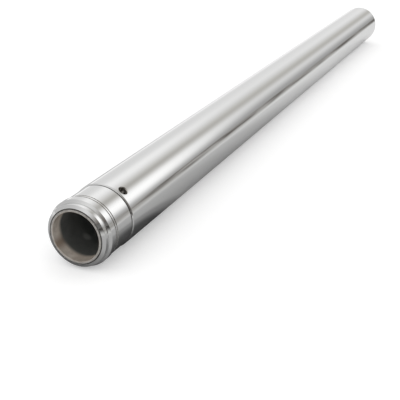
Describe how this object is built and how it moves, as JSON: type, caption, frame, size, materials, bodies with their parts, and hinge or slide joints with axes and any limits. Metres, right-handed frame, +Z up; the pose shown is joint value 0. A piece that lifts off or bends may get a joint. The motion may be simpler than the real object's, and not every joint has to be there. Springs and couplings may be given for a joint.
{
  "type": "motorcycle fork tube",
  "caption": "Chromed telescopic fork tube with a stepped lower end, bushing seat, oil hole and internally threaded upper end.",
  "frame": {"origin": "on the floor under the middle of the tube, which lies on its side", "axes": "+X along the tube from the stepped lower end to the threaded upper end, +Z up"},
  "size_m": [0.616, 0.039, 0.039],
  "materials": {
    "chrome_tube": "ground and polished hard chrome on steel"
  },
  "bodies": {
    "root": {"fork_tube": "chrome_tube"}
  },
  "joints": []
}
